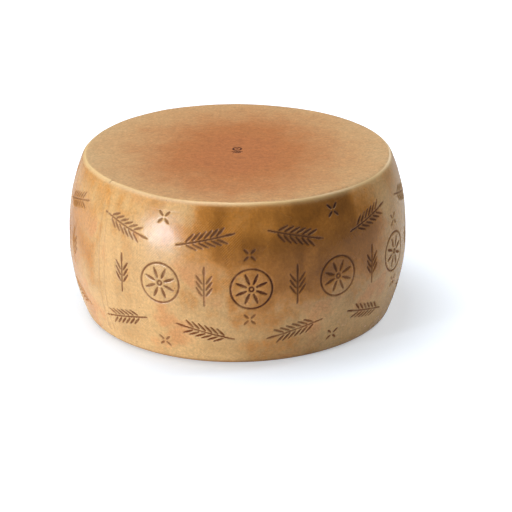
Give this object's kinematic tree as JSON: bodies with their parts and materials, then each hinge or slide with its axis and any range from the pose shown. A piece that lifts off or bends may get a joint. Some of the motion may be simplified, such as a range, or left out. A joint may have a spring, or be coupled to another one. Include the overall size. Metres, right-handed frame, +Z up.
{
  "type": "cheese wheel",
  "caption": "Whole wheel of hard aged grana-style cheese with a barrel-shaped side, rounded edges and flat faces.",
  "frame": {"origin": "centre of the flat base that the wheel rests on", "axes": "+Z up along the wheel's axis, -Y towards the side that the picture shows"},
  "size_m": [0.4292, 0.4307, 0.2086],
  "materials": {
    "rind": "oiled natural cheese rind, satin, straw to orange brown"
  },
  "bodies": {
    "root": {"cheese_wheel": "rind"}
  },
  "joints": []
}
